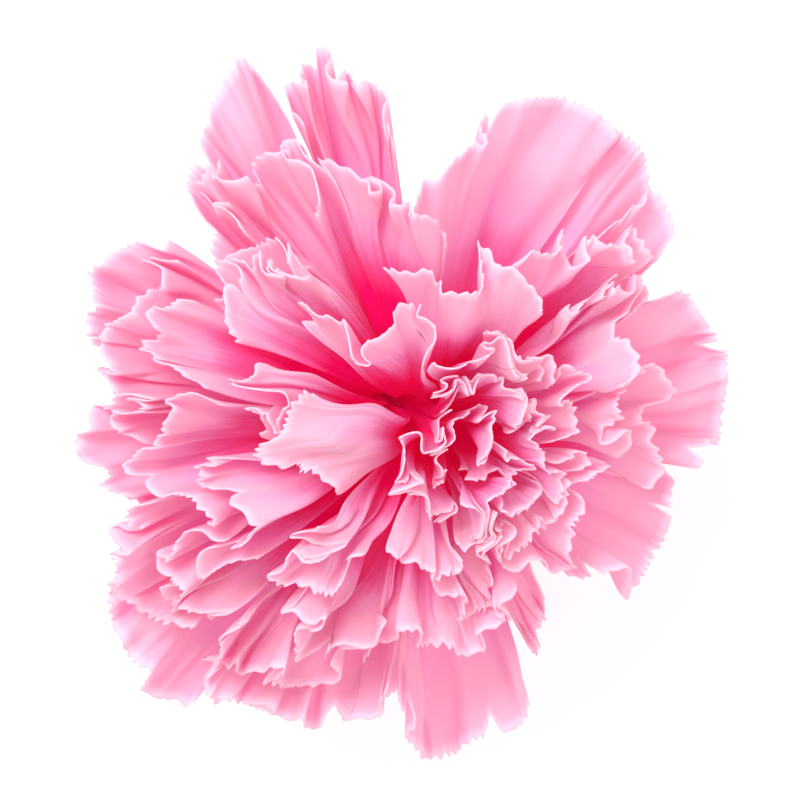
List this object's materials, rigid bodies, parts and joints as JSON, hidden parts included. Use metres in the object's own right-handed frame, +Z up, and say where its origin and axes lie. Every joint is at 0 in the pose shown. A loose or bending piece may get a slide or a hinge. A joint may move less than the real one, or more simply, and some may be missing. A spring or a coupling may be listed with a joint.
{
  "type": "carnation flower head",
  "caption": "A ruffled double carnation head, cut just below its calyx and lying face up, with toothed petals crowding outwards from a crumpled heart.",
  "frame": {"origin": "the middle of the flower's outline seen from above, level with the cut end of the stem and the lowest guard petals", "axes": "+Z up out of the open face, which is the shortest side; +Y along the longer side of the outline; +X to the right of it seen from above. The flower's own axis leans 25 degrees from +Z towards +X and -Y"},
  "size_m": [0.0788, 0.0856, 0.0606],
  "materials": {
    "petal": "soft and matt, pale pink at the toothed rim and deeper rose towards the claw, slightly translucent",
    "calyx": "matt waxy green, paler towards the pointed teeth",
    "bract": "matt waxy green",
    "stem": "matt waxy green, with a pale cut face",
    "ovary": "smooth pale green",
    "style": "pale, nearly white"
  },
  "bodies": {
    "root": {"bract_01": "bract", "bract_02": "bract", "bract_03": "bract", "bract_04": "bract", "calyx": "calyx", "ovary": "ovary", "petal_core_01": "petal", "petal_fifth_01": "petal", "petal_fifth_02": "petal", "petal_fifth_03": "petal", "petal_fifth_04": "petal", "petal_fifth_05": "petal", "petal_fifth_06": "petal", "petal_fifth_07": "petal", "petal_fifth_08": "petal", "petal_fourth_01": "petal", "petal_fourth_02": "petal", "petal_fourth_03": "petal", "petal_fourth_04": "petal", "petal_fourth_05": "petal", "petal_fourth_06": "petal", "petal_fourth_07": "petal", "petal_fourth_08": "petal", "petal_fourth_09": "petal", "petal_guard_01": "petal", "petal_guard_02": "petal", "petal_guard_03": "petal", "petal_guard_04": "petal", "petal_guard_05": "petal", "petal_guard_06": "petal", "petal_guard_07": "petal", "petal_guard_08": "petal", "petal_guard_09": "petal", "petal_heart_01": "petal", "petal_heart_02": "petal", "petal_heart_03": "petal", "petal_heart_04": "petal", "petal_second_01": "petal", "petal_second_02": "petal", "petal_second_03": "petal", "petal_second_04": "petal", "petal_second_05": "petal", "petal_second_06": "petal", "petal_second_07": "petal", "petal_second_08": "petal", "petal_second_09": "petal", "petal_second_10": "petal", "petal_second_11": "petal", "petal_third_01": "petal", "petal_third_02": "petal", "petal_third_03": "petal", "petal_third_04": "petal", "petal_third_05": "petal", "petal_third_06": "petal", "petal_third_07": "petal", "petal_third_08": "petal", "petal_third_09": "petal", "stem": "stem", "style_01": "style", "style_02": "style"}
  },
  "joints": []
}
